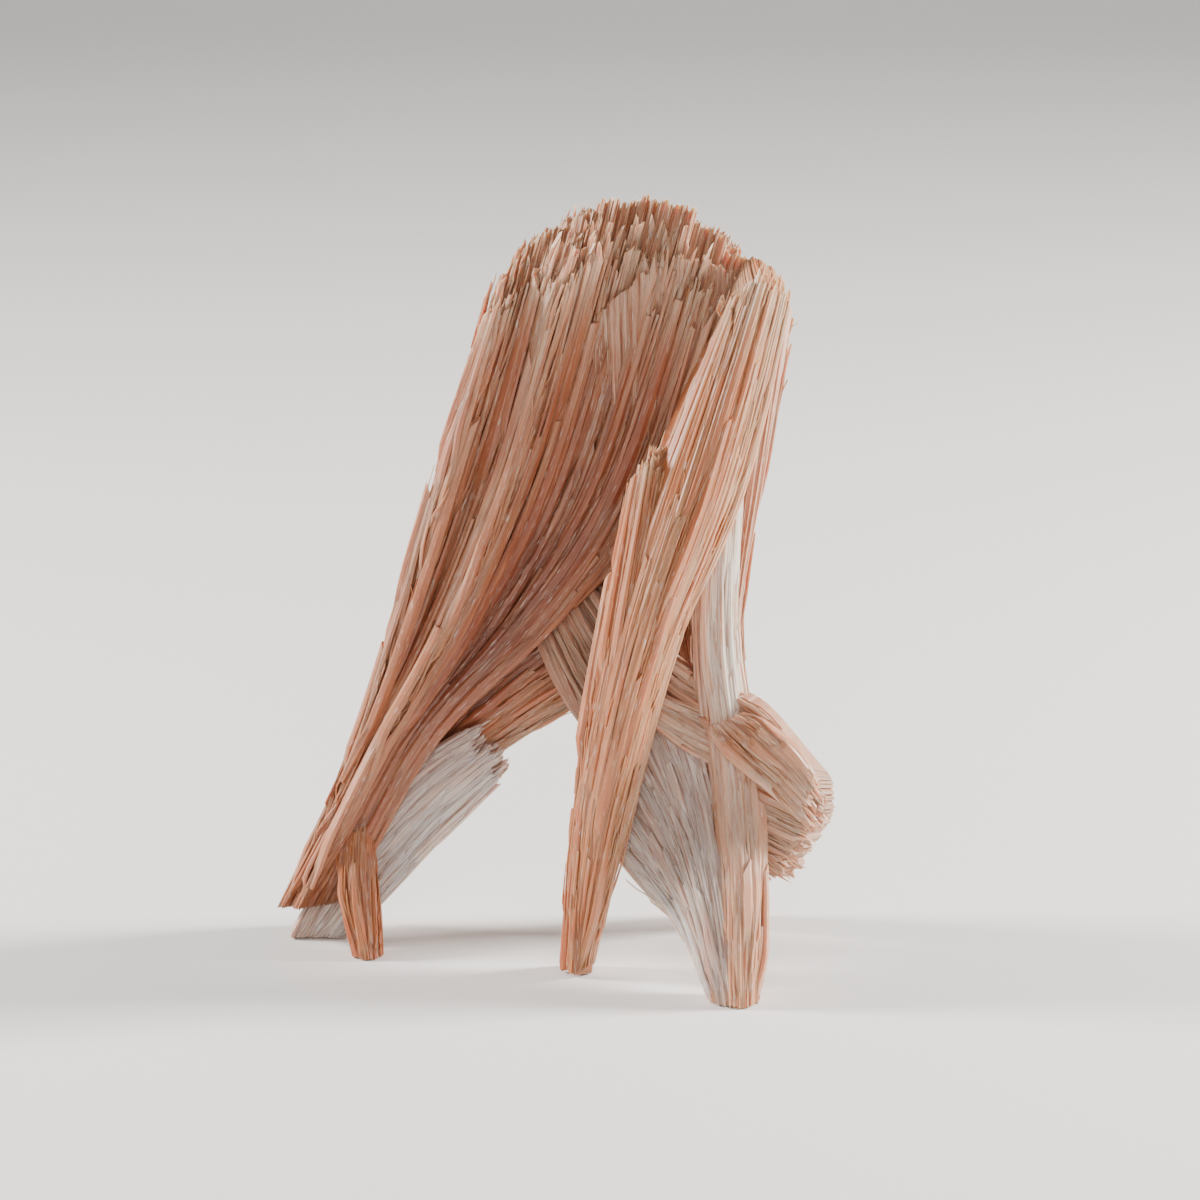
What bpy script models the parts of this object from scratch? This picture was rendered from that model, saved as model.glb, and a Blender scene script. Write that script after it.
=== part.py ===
"""Inesite: a thumbnail cluster of flared crystal sheaves, grown through each other and broken off at their feet.

Every sheaf is a fan of parallel laths. It is lofted from guide lines that run from its broken foot to its
ragged tip. All the sheaves are one solid in the end, because the crystals have grown together. The cluster
stands on the broken ends of its feet, on z = 0. X runs to the right, Y away from the viewer, Z up.
"""

import math
import random

import bmesh
import bpy
import numpy as np
from mathutils import Matrix, Vector

MM = 0.001
COLLECTION = "inesite"
NODE = "crystal_cluster"
SEED = 4

# Which way a sheaf's face looks along Y
FRONT = -1
BACK = 1

# The laths of a sheaf all share these places along it, between their own feet and tips
SHARED_STATIONS = (0.2, 0.4, 0.6, 0.8)
STATIONS = len(SHARED_STATIONS) + 2
# The part of a lath's width that each of its two edges gives up to the groove beside it
LATH_GAP = 0.07
# A sheaf is this much of its full thickness at its left and right edges
EDGE_SHARE = 0.5
# Ridges and steps have this part of their height at the foot, and gain this much per whole length
FOOT_HEIGHT = 0.3
HEIGHT_GAIN = 1.4
# The least part of a lath's random lean, and of its random break at the foot
LEAST_LEAN = 0.3
LEAST_BREAK = 0.8
BREAK_SPREAD = 0.4
# How far on either side of a place the run of the laths is measured
RUN_STEP = 0.03

# Single splinters on a sheaf, in mm: how far they sink in at the base and stand out at the end
SPLINTER_SUNK = 0.35
SPLINTER_PROUD = 0.22
SPLINTER_SIDES = 5
BASE_RADIUS = 0.5
END_RADIUS = 0.36
SPLINTER_FLATNESS = 0.8
LOOSE_OUT = (0.0, -1.0, 0.2)

# The lines are measured from a point on the floor near the middle. This move in mm brings the middle of the
# whole cluster over the origin.
SHIFT = (0.1, -0.6, 0.0)
# The side of the block whose top trims all the feet to the floor
FLOOR_BLOCK = 60.0

COLOUR = (0.62, 0.30, 0.19, 1.0)
ROUGHNESS = 0.45

# Each sheaf has two or three guide lines in mm, from foot to tip: left, (middle,) right. Thickness is in mm at
# foot, middle and tip. Relief gives pairs of place across (0 left, 1 right) and height in mm. The breaks say how
# much shorter the face is than the back at the foot and the tip, which leaves a slanted broken end.
SHEAVES = {
    "main_fan": {
        "lines": [
            [(-14.1, 4.2, 1.3), (-10.3, 3.4, 9.4), (-7.6, 2.6, 17.8), (-5.2, 2.0, 26.3), (-2.5, 0.9, 34.6)],
            [(-12.4, 3.2, 1.5), (-8.2, 2.8, 9.8), (-3.4, 2.6, 17.0), (0.4, 2.1, 25.2), (3.9, 0.6, 38.3)],
            [(-10.8, 4.0, 1.6), (-5.6, 3.4, 11.0), (0.9, 3.0, 17.6), (5.4, 1.8, 24.2), (9.5, 0.4, 35.4)],
        ],
        "thick": (1.8, 2.2, 1.8),
        "laths": 22,
        "ragged": 1.6,
        "step": 0.26,
        "relief": [
            (0.0, -0.2), (0.06, 0.5), (0.17, -0.5), (0.3, 1.0),
            (0.42, -0.2), (0.58, -0.9), (0.8, -0.3), (1.0, 0.2),
        ],
        "foot_break": 0.6,
        "tip_break": 1.6,
        "face": FRONT,
    },
    "main_fan_back": {
        "lines": [
            [(-13.2, 5.6, 1.6), (-9.8, 5.2, 9.4), (-7.2, 4.6, 17.8), (-4.8, 4.0, 26.3), (-1.4, 2.6, 35.4)],
            [(-12.1, 5.2, 1.8), (-8.1, 4.9, 10.2), (-3.4, 4.4, 17.2), (0.5, 3.9, 25.6), (3.7, 2.2, 37.7)],
            [(-10.9, 5.4, 2.2), (-6.0, 5.0, 11.8), (0.7, 4.4, 18.4), (5.3, 3.4, 25.3), (9.3, 1.9, 35.6)],
        ],
        "thick": (1.4, 2.0, 1.6),
        "laths": 10,
        "ragged": 1.4,
        "step": 0.26,
        "relief": [(0.0, 0.0), (1.0, 0.0)],
        "foot_break": 0.4,
        "tip_break": 1.0,
        "face": FRONT,
    },
    "front_sheaf": {
        "lines": [
            [(0.5, -0.9, -0.9), (1.6, -2.0, 9.1), (2.8, -2.4, 17.3), (5.0, -1.8, 25.1), (9.1, -0.5, 34.6)],
            [(1.1, -1.8, -0.9), (2.6, -3.6, 9.6), (4.5, -4.1, 17.8), (7.1, -3.5, 25.6), (10.3, -1.6, 35.9)],
            [(1.8, -1.1, -0.9), (4.0, -1.8, 9.1), (6.1, -1.8, 17.1), (9.3, -1.0, 25.0), (11.6, -0.1, 34.6)],
        ],
        "thick": (1.5, 3.0, 3.2),
        "laths": 9,
        "ragged": 0.8,
        "step": 0.2,
        "relief": [(0.0, 0.0), (0.5, 0.1), (1.0, 0.0)],
        "foot_break": 1.4,
        "tip_break": 0.8,
        "face": FRONT,
    },
    "front_sheaf_left": {
        "lines": [
            [(0.3, -0.9, -0.9), (1.2, -1.9, 9.1), (2.3, -2.3, 16.8), (4.3, -1.4, 27.2)],
            [(0.7, -1.8, -0.9), (1.7, -3.0, 9.4), (3.1, -3.5, 17.1), (5.0, -2.6, 27.9)],
            [(1.2, -1.9, -0.9), (2.3, -3.2, 9.5), (3.9, -3.5, 17.1), (5.7, -2.4, 27.7)],
        ],
        "thick": (1.2, 2.0, 2.4),
        "laths": 5,
        "ragged": 1.4,
        "step": 0.16,
        "relief": [(0.0, 0.0), (1.0, 0.0)],
        "foot_break": 1.2,
        "tip_break": 1.2,
        "face": FRONT,
    },
    "right_column": {
        "lines": [
            [(8.1, -6.4, -0.9), (8.0, -4.4, 4.8), (7.5, -1.8, 10.1), (7.0, 0.0, 16.6), (7.2, 0.6, 24.9)],
            [(9.2, -7.2, -0.9), (9.2, -5.4, 5.1), (8.9, -2.8, 10.4), (8.1, -0.9, 16.9), (8.3, 0.0, 25.6)],
            [(10.1, -6.1, -0.9), (10.3, -4.0, 5.7), (10.0, -1.8, 10.6), (9.0, 0.0, 16.6), (9.2, 0.8, 25.6)],
        ],
        "thick": (1.8, 2.6, 2.4),
        "laths": 7,
        "ragged": 1.0,
        "step": 0.18,
        "relief": [(0.0, 0.0), (1.0, 0.0)],
        "foot_break": 0.9,
        "tip_break": 0.5,
        "face": FRONT,
    },
    "right_fan": {
        "lines": [
            [(7.9, -6.1, -0.9), (6.5, -3.9, 2.8), (4.6, -1.6, 4.4), (2.4, 0.8, 6.2)],
            [(8.3, -6.8, -0.9), (7.2, -4.7, 4.4), (5.7, -2.2, 8.2), (3.6, 0.2, 11.8)],
            [(9.0, -6.9, -0.9), (8.3, -4.9, 5.2), (7.5, -2.6, 9.8), (6.4, -0.4, 14.3)],
        ],
        "thick": (1.6, 1.6, 1.2),
        "laths": 9,
        "ragged": 1.0,
        "step": 0.2,
        "relief": [(0.0, 0.0), (1.0, 0.0)],
        "foot_break": 0.9,
        "tip_break": 0.4,
        "face": FRONT,
    },
    "crossing_sheaf": {
        "lines": [
            [(1.2, 4.4, 19.8), (4.3, 1.6, 16.7), (7.2, -0.2, 14.7), (10.0, -1.8, 13.8), (13.1, -3.0, 10.4)],
            [(-0.4, 4.4, 18.7), (2.6, 1.4, 14.1), (5.7, -0.8, 11.6), (9.3, -2.4, 9.7), (13.2, -3.6, 8.0)],
            [(-1.8, 4.8, 17.4), (1.3, 2.2, 12.1), (4.6, 0.4, 9.2), (8.0, -1.2, 7.1), (11.4, -2.6, 5.0)],
        ],
        "thick": (1.8, 2.4, 2.2),
        "laths": 9,
        "ragged": 0.9,
        "step": 0.18,
        "relief": [(0.0, 0.0), (1.0, 0.0)],
        "foot_break": 0.4,
        "tip_break": 0.6,
        "face": FRONT,
    },
    "crossing_band": {
        "lines": [
            [(3.4, -0.2, 15.4), (5.3, -0.9, 14.2), (7.1, -1.1, 13.4), (8.7, -1.2, 12.3)],
            [(3.2, -0.2, 14.1), (5.1, -1.3, 12.8), (6.6, -1.8, 11.7), (8.3, -1.8, 10.7)],
        ],
        "thick": (1.4, 1.4, 1.0),
        "laths": 5,
        "ragged": 0.2,
        "step": 0.2,
        "relief": [(0.0, 0.0), (1.0, 0.0)],
        "foot_break": 0.2,
        "tip_break": 0.2,
        "face": FRONT,
    },
    "crossing_front": {
        "lines": [
            [(9.0, -2.2, 13.7), (10.0, -2.9, 13.6), (10.9, -3.5, 13.0), (12.0, -3.9, 12.0), (13.1, -4.0, 10.3)],
            [(7.4, -2.1, 13.1), (8.4, -2.9, 11.9), (9.4, -3.5, 11.1), (10.9, -3.9, 9.9), (12.8, -4.0, 7.9)],
        ],
        "thick": (1.0, 1.6, 1.4),
        "laths": 6,
        "ragged": 0.8,
        "step": 0.18,
        "relief": [(0.0, 0.0), (1.0, 0.0)],
        "foot_break": 0.5,
        "tip_break": 0.3,
        "face": FRONT,
    },
    "back_band": {
        "lines": [
            [(-11.0, 5.2, 2.8), (-7.0, 4.8, 10.4), (-2.8, 4.6, 15.4), (0.8, 4.4, 18.6), (4.6, 4.0, 21.4)],
            [(-10.3, 6.0, 1.2), (-6.2, 5.8, 6.8), (-2.4, 5.4, 9.7), (1.1, 5.0, 12.0), (4.3, 4.4, 14.1)],
        ],
        "thick": (1.4, 2.0, 2.0),
        "laths": 7,
        "ragged": 0.8,
        "step": 0.18,
        "relief": [(0.0, 0.0), (1.0, 0.0)],
        "foot_break": 0.3,
        "tip_break": 0.3,
        "face": FRONT,
    },
    "left_foot_fan": {
        "lines": [
            [(-13.9, 4.2, -0.9), (-10.8, 4.0, 4.6), (-7.3, 4.2, 8.8), (-3.4, 4.6, 11.4)],
            [(-11.4, 4.2, -0.9), (-8.5, 4.0, 2.3), (-5.4, 4.0, 5.7), (-1.8, 4.4, 9.2)],
        ],
        "thick": (2.2, 1.8, 1.2),
        "laths": 7,
        "ragged": 1.4,
        "step": 0.18,
        "relief": [(0.0, 0.0), (1.0, 0.0)],
        "foot_break": 0.8,
        "tip_break": 0.3,
        "face": FRONT,
    },
    "left_stub": {
        "lines": [
            [(-9.8, 0.9, -0.9), (-10.7, 2.4, 3.0), (-10.2, 3.8, 5.8)],
            [(-9.1, 0.2, -0.9), (-9.7, 1.8, 3.0), (-9.7, 3.2, 6.2)],
            [(-8.4, 0.9, -0.9), (-8.6, 2.4, 2.6), (-9.2, 3.8, 5.8)],
        ],
        "thick": (1.3, 1.3, 1.3),
        "laths": 3,
        "ragged": 0.1,
        "step": 0.1,
        "relief": [(0.0, 0.0), (1.0, 0.0)],
        "foot_break": 0.9,
        "tip_break": 0.2,
        "face": FRONT,
    },
    "back_sheaf": {
        "lines": [
            [(8.0, 7.6, -0.9), (6.6, 7.4, 8.0), (4.2, 6.4, 16.0), (2.4, 5.6, 24.4), (1.8, 4.2, 32.4)],
            [(9.2, 8.2, -0.9), (8.5, 8.0, 8.0), (7.1, 7.4, 16.0), (6.7, 6.6, 25.0), (6.9, 5.0, 36.2)],
            [(10.3, 7.6, -0.9), (10.2, 7.2, 8.0), (9.4, 6.2, 16.0), (10.6, 5.0, 24.6), (11.9, 3.2, 33.4)],
        ],
        "thick": (1.8, 4.2, 4.0),
        "laths": 9,
        "ragged": 1.4,
        "step": 0.24,
        "relief": [(0.0, 0.0), (1.0, 0.0)],
        "foot_break": 0.4,
        "tip_break": 1.2,
        "face": BACK,
    },
}

# Splinters on a sheaf's face: sheaf, (across, along) at the base, (across, along) at the end, width in mm
SPLINTERS = [
    ("main_fan", (0.03, 0.60), (0.02, 0.24), 0.9),
    ("main_fan", (0.50, 0.44), (0.55, 0.66), 0.6),
    ("main_fan", (0.42, 0.30), (0.43, 0.50), 0.5),
    ("main_fan", (0.66, 0.40), (0.70, 0.60), 0.5),
    ("main_fan", (0.80, 0.42), (0.82, 0.62), 0.5),
    ("main_fan", (0.62, 0.60), (0.66, 0.88), 0.7),
    ("main_fan", (0.48, 0.62), (0.50, 0.90), 0.6),
    ("main_fan", (0.76, 0.62), (0.80, 0.90), 0.6),
    ("right_fan", (0.35, 0.10), (0.25, 0.72), 0.4),
    ("right_fan", (0.60, 0.15), (0.55, 0.80), 0.4),
    ("right_fan", (0.05, 0.12), (0.05, 0.80), 0.5),
    ("back_sheaf", (0.30, 0.20), (0.25, 0.62), 0.7),
    ("back_sheaf", (0.60, 0.34), (0.60, 0.80), 0.7),
    ("back_sheaf", (0.80, 0.10), (0.82, 0.48), 0.6),
    ("back_band", (0.30, 0.30), (0.25, 0.70), 0.5),
]

# Splinters that stand free of a face: base, end, width and thickness in mm
LOOSE_SPLINTERS = [
    ((-4.6, 3.9, 7.4), (-4.3, 3.1, 10.4), 0.6, 0.5),
    ((-4.2, 4.1, 9.5), (-1.8, 3.5, 10.3), 0.55, 0.5),
    ((9.5, -1.9, 9.5), (9.55, -0.9, 15.6), 0.8, 0.8),
    ((8.6, 1.2, 20.6), (10.8, 2.7, 23.8), 1.2, 1.0),
    ((8.6, 2.0, 14.6), (9.4, 2.0, 17.6), 0.9, 0.8),
]


def clear_scene():
    """Remove everything that the scene starts with."""
    for item in list(bpy.data.objects):
        bpy.data.objects.remove(item, do_unlink=True)


def point_along(line, w):
    """A point on the smooth curve through a guide line, with w from 0 at the foot to 1 at the tip."""
    points = [np.array(p, dtype=float) for p in line]
    points = [2 * points[0] - points[1]] + points + [2 * points[-1] - points[-2]]
    place = min(max(w, 0.0), 1.0) * (len(line) - 1)
    i = min(int(place), len(line) - 2)
    t = place - i
    a, b, c, d = points[i:i + 4]
    return 0.5 * (2 * b + (c - a) * t + (2 * a - 5 * b + 4 * c - d) * t * t + (3 * b - a - 3 * c + d) * t ** 3)


def point_on(lines, s, w):
    """A point on the sheaf's face, with s across it from the left line to the right line."""
    rows = [point_along(line, w) for line in lines]
    if len(rows) == 2:
        return rows[0] * (1 - s) + rows[1] * s
    left, middle, right = rows
    return left * (1 - s) * (1 - 2 * s) + middle * 4 * s * (1 - s) + right * s * (2 * s - 1)


def face_out(sheaf, w):
    """The direction that the whole face looks in, at one place along the sheaf."""
    lines = sheaf["lines"]
    middle = lines[len(lines) // 2]
    across = point_along(lines[-1], w) - point_along(lines[0], w)
    along = point_along(middle, min(w + RUN_STEP, 1.0)) - point_along(middle, max(w - RUN_STEP, 0.0))
    out = np.cross(across, along)
    out /= np.linalg.norm(out)
    return out if out[1] * sheaf["face"] > 0 else -out


def fade_in(w):
    """Ridges and lath steps are low at the narrow foot and reach their full height further up."""
    return min(1.0, FOOT_HEIGHT + HEIGHT_GAIN * w)


def relief_height(sheaf, s, w):
    """How far the face stands out from its guide lines in mm."""
    places, heights = zip(*sheaf["relief"])
    return np.interp(s, places, heights) * fade_in(w)


def sheaf_thickness(sheaf, s, w):
    """How deep the sheaf is behind its face in mm, thinner towards its two edges."""
    full = np.interp(w, (0.0, 0.5, 1.0), sheaf["thick"])
    return full * (EDGE_SHARE + (1 - EDGE_SHARE) * math.sqrt(max(0.0, 1 - (2 * s - 1) ** 2)))


def lath_columns(sheaf, k, rng):
    """The two front and two back edges of one lath, each a list of points from foot to tip."""
    count = sheaf["laths"]
    middle = sheaf["lines"][len(sheaf["lines"]) // 2]
    length = sum(math.dist(a, b) for a, b in zip(middle, middle[1:]))
    tip_back = 1.0 - 0.5 * sheaf["ragged"] * rng.random() / length
    tip_front = 1.0 - (sheaf["ragged"] * rng.random() + sheaf["tip_break"]) / length
    foot_front = sheaf["foot_break"] * (LEAST_BREAK + BREAK_SPREAD * rng.random()) / length
    raised = sheaf["step"] * (rng.random() - 0.5)
    lean = sheaf["step"] * (LEAST_LEAN + (1 - LEAST_LEAN) * rng.random())
    raised_back = sheaf["step"] * (rng.random() - 0.5)
    front, back = [], []
    for side in (0, 1):
        s = (k + side + LATH_GAP * (1 - 2 * side)) / count
        front.append([])
        back.append([])
        for w in (foot_front, *SHARED_STATIONS, tip_front):
            height = relief_height(sheaf, s, w) + (raised + lean * (0.5 - side)) * fade_in(w)
            front[side].append(point_on(sheaf["lines"], s, w) + face_out(sheaf, w) * height)
        for w in (0.0, *SHARED_STATIONS, tip_back):
            depth = sheaf_thickness(sheaf, s, w) + raised_back * fade_in(w)
            back[side].append(point_on(sheaf["lines"], s, w) - face_out(sheaf, w) * depth)
    return front, back


def sheaf_object(name, sheaf, rng):
    """One closed fan of laths, lofted as a ring of front and back edges from foot to tip."""
    front, back = [], []
    for k in range(sheaf["laths"]):
        lath_front, lath_back = lath_columns(sheaf, k, rng)
        front += lath_front
        back += lath_back
    ring = front + back[::-1]
    mesh = bmesh.new()
    verts = [[mesh.verts.new(Vector(point) * MM) for point in column] for column in ring]
    size = len(ring)
    for i in range(size):
        here, after = verts[i], verts[(i + 1) % size]
        for j in range(STATIONS - 1):
            mesh.faces.new((here[j], after[j], after[j + 1], here[j + 1]))
    for i in range(size // 2 - 1):
        far = size - 1 - i
        mesh.faces.new((verts[i][-1], verts[i + 1][-1], verts[far - 1][-1], verts[far][-1]))
        mesh.faces.new((verts[i][0], verts[far][0], verts[far - 1][0], verts[i + 1][0]))
    bmesh.ops.triangulate(mesh, faces=mesh.faces[:])
    bmesh.ops.recalc_face_normals(mesh, faces=mesh.faces[:])
    return finish_mesh(name, mesh)


def splinter_object(name, base, end, out, width, thick):
    """A single tapering lath with flat sides, from base to end, turned so that its thin side faces out."""
    base, end, out = Vector(base), Vector(end), Vector(out)
    along = (end - base).normalized()
    across = along.cross(out).normalized()
    out = across.cross(along)
    mesh = bmesh.new()
    bmesh.ops.create_cone(
        mesh, cap_ends=True, segments=SPLINTER_SIDES, radius1=BASE_RADIUS, radius2=END_RADIUS, depth=1.0
    )
    columns = (across * width, out * thick, along * (end - base).length)
    turn = Matrix([[column[row] for column in columns] for row in range(3)]).to_4x4()
    bmesh.ops.transform(mesh, matrix=Matrix.Translation((base + end) / 2) @ turn, verts=mesh.verts)
    bmesh.ops.scale(mesh, vec=(MM, MM, MM), verts=mesh.verts)
    bmesh.ops.recalc_face_normals(mesh, faces=mesh.faces[:])
    return finish_mesh(name, mesh)


def splinter_on(name, sheaf, base, end, width):
    """A splinter that leaves the sheaf's face at its base and stands proud of it at its end."""
    points = []
    for (s, w), height in ((base, -SPLINTER_SUNK), (end, SPLINTER_PROUD)):
        out = face_out(sheaf, w)
        points.append(point_on(sheaf["lines"], s, w) + out * (relief_height(sheaf, s, w) + height))
    return splinter_object(name, points[0], points[1], out, width, width * SPLINTER_FLATNESS)


def finish_mesh(name, mesh):
    """Turn the edited mesh into an object that isn't in the scene yet."""
    data = bpy.data.meshes.new(name)
    mesh.to_mesh(data)
    mesh.free()
    return bpy.data.objects.new(name, data)


def combine(body, other, operation):
    """Join the other object to the body, or cut it away, and drop the other object."""
    bpy.context.scene.collection.objects.link(other)
    modifier = body.modifiers.new(operation.lower(), "BOOLEAN")
    modifier.operation = operation
    modifier.solver = "EXACT"
    modifier.object = other
    graph = bpy.context.evaluated_depsgraph_get()
    result = bpy.data.meshes.new_from_object(body.evaluated_get(graph))
    body.modifiers.clear()
    body.data = result
    bpy.data.objects.remove(other, do_unlink=True)


def floor_cutter():
    """A block whose top is the surface that the cluster stands on."""
    mesh = bmesh.new()
    bmesh.ops.create_cube(mesh, size=FLOOR_BLOCK * MM)
    bmesh.ops.translate(mesh, vec=(0, 0, -FLOOR_BLOCK * MM / 2), verts=mesh.verts)
    return finish_mesh("floor_cutter", mesh)


def keep_outer_skin(body):
    """Fill the sealed pockets that the crossing laths leave: only the largest shell stays."""
    mesh = bmesh.new()
    mesh.from_mesh(body.data)
    bmesh.ops.triangulate(mesh, faces=mesh.faces[:])
    waiting = set(mesh.faces)
    shells = []
    while waiting:
        shell, edge = set(), [waiting.pop()]
        while edge:
            face = edge.pop()
            shell.add(face)
            for side in face.edges:
                for near in side.link_faces:
                    if near in waiting:
                        waiting.remove(near)
                        edge.append(near)
        shells.append(shell)
    shells.sort(key=len)
    for shell in shells[:-1]:
        bmesh.ops.delete(mesh, geom=list(shell), context="FACES")
    mesh.to_mesh(body.data)
    mesh.free()


def main():
    clear_scene()
    collection = bpy.data.collections.new(COLLECTION)
    bpy.context.scene.collection.children.link(collection)
    material = bpy.data.materials.new("inesite")
    material.use_nodes = True
    shader = material.node_tree.nodes["Principled BSDF"]
    shader.inputs["Base Color"].default_value = COLOUR
    shader.inputs["Roughness"].default_value = ROUGHNESS
    rng = random.Random(SEED)
    pieces = [sheaf_object(name, sheaf, rng) for name, sheaf in SHEAVES.items()]
    for i, (name, base, end, width) in enumerate(SPLINTERS):
        pieces.append(splinter_on(f"splinter_{i}", SHEAVES[name], base, end, width))
    for i, (base, end, width, thick) in enumerate(LOOSE_SPLINTERS):
        pieces.append(splinter_object(f"loose_splinter_{i}", base, end, LOOSE_OUT, width, thick))
    cluster = pieces[0]
    cluster.name = NODE
    cluster.data.name = NODE
    collection.objects.link(cluster)
    for piece in pieces[1:]:
        combine(cluster, piece, "UNION")
    combine(cluster, floor_cutter(), "DIFFERENCE")
    keep_outer_skin(cluster)
    cluster.data.transform(Matrix.Translation(Vector(SHIFT) * MM))
    cluster.data.materials.clear()
    cluster.data.materials.append(material)


main()
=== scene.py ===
import math

import bpy
import numpy as np
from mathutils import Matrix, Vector


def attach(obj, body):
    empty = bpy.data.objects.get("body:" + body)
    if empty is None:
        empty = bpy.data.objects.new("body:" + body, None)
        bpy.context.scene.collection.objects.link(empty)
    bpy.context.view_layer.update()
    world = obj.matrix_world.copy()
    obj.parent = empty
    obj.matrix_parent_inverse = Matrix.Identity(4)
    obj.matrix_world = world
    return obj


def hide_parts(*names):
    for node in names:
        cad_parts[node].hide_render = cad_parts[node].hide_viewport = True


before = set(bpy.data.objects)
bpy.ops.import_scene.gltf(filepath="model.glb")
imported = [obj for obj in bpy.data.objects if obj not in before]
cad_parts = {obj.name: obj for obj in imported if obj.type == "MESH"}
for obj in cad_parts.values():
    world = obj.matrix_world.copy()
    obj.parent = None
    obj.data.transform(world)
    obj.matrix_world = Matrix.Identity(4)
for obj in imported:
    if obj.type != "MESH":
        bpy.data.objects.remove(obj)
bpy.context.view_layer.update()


# The room for the picture: a pale floor that sweeps up behind the specimen, a soft light on the right and one
# on the left, a weaker one in front, and the camera, a long lens 14 degrees above the specimen's middle.
FLOOR_COLOUR = (0.88, 0.87, 0.85, 1.0)
FLOOR_ROUGHNESS = 0.6
FLOOR_HALF_WIDTH = 1.2
FLOOR_PROFILE = [(-0.9, 0.0), (0.35, 0.0), (0.48, 0.02), (0.56, 0.08), (0.60, 0.17), (0.60, 1.0)]
ROOM_COLOUR = (1.0, 0.98, 0.96, 1.0)
ROOM_BRIGHTNESS = 0.20
TARGET = Vector((0.00244, -0.0006, 0.0187))
CAMERA_DISTANCE = 0.244
CAMERA_RISE = math.radians(14.0)
LENS = 150.0
SENSOR = 36.0

floor_mesh = bpy.data.meshes.new("floor")
floor_mesh.from_pydata(
    [(x, y, z) for y, z in FLOOR_PROFILE for x in (-FLOOR_HALF_WIDTH, FLOOR_HALF_WIDTH)], [],
    [(2 * i, 2 * i + 1, 2 * i + 3, 2 * i + 2) for i in range(len(FLOOR_PROFILE) - 1)])
floor_mesh.shade_smooth()
floor = bpy.data.objects.new("floor", floor_mesh)
bpy.context.scene.collection.objects.link(floor)
floor_material = bpy.data.materials.new("pale floor")
floor_material.use_nodes = True
floor_material.node_tree.nodes["Principled BSDF"].inputs["Base Color"].default_value = FLOOR_COLOUR
floor_material.node_tree.nodes["Principled BSDF"].inputs["Roughness"].default_value = FLOOR_ROUGHNESS
floor_mesh.materials.append(floor_material)

world = bpy.data.worlds.new("studio")
bpy.context.scene.world = world
world.use_nodes = True
world.node_tree.nodes["Background"].inputs["Color"].default_value = ROOM_COLOUR
world.node_tree.nodes["Background"].inputs["Strength"].default_value = ROOM_BRIGHTNESS


def soft_light(name, place, size, power, colour):
    """A square soft light that points at the specimen."""
    data = bpy.data.lights.new(name, "AREA")
    data.size = size
    data.energy = power
    data.color = colour
    light = bpy.data.objects.new(name, data)
    light.location = place
    light.rotation_euler = (TARGET - Vector(place)).to_track_quat("-Z", "Y").to_euler()
    bpy.context.scene.collection.objects.link(light)


soft_light("light right", (0.26, 0.04, 0.15), 0.07, 2.4, (1.0, 0.98, 0.95))
soft_light("light left", (-0.24, 0.03, 0.12), 0.06, 1.5, (1.0, 0.97, 0.94))
soft_light("light front", (0.03, -0.32, 0.22), 0.16, 0.5, (1.0, 0.98, 0.96))

camera_data = bpy.data.cameras.new("camera")
camera_data.lens = LENS
camera_data.sensor_width = SENSOR
camera_data.clip_start = 0.01
camera_data.clip_end = 10.0
camera = bpy.data.objects.new("camera", camera_data)
looking = Vector((0.0, math.cos(CAMERA_RISE), -math.sin(CAMERA_RISE)))
camera.location = TARGET - looking * CAMERA_DISTANCE
camera.rotation_euler = looking.to_track_quat("-Z", "Y").to_euler()
bpy.context.scene.collection.objects.link(camera)
bpy.context.scene.camera = camera


# The main fan: the widest sheaf, a curved sheet of parallel laths that spreads from the left foot to a ragged
# top. It is salmon inesite, deep red-brown in its trough, partly from painted shade, with painted light along
# the ridges and pale broken tips. The other sheaves have grown against it. SHIFT centres the cluster's guide
# lines over the frame's origin.
MM = 0.001
SHIFT = np.array((0.1, -0.6, 0.0))
PLACES = 161
FRONT = -1
BACK = 1
NEARBY = 0.01
FOOT_RELIEF = 0.3
RELIEF_RISE = 1.4
LEAST_LEAN = 0.3
COARSE_BREAK = 0.6
BACK_BREAK = 0.5
JITTERS = 400
LAST_LATH = 0.9999
JITTERS_PER_LATH = 6
FINE_LATHS = ((3.7, 0.20), (11.0, 0.09))
TRIM_REACH = 0.3
TRIM_STEPS = 61
FOOT_UNEVENNESS = 0.12
rng = np.random.default_rng(11)


def guide(line):
    """A smooth curve through a guide line's points, as many places from foot to tip."""
    points = np.array(line, float)
    points = np.vstack([2 * points[0] - points[1], points, 2 * points[-1] - points[-2]])
    place = np.linspace(0, len(line) - 1, PLACES)
    i = np.minimum(place.astype(int), len(line) - 2)
    t = (place - i)[:, None]
    a, b, c, d = points[i], points[i + 1], points[i + 2], points[i + 3]
    return 0.5 * (2 * b + (c - a) * t + (2 * a - 5 * b + 4 * c - d) * t**2 + (3 * b - a - 3 * c + d) * t**3)


def smooth(low, high, x):
    """A share that rises gently from 0 at low to 1 at high."""
    t = np.clip((x - low) / (high - low), 0.0, 1.0)
    return t * t * (3 - 2 * t)


def unit(v):
    return v / np.maximum(np.linalg.norm(v, axis=-1, keepdims=True), 1e-9)


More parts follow.
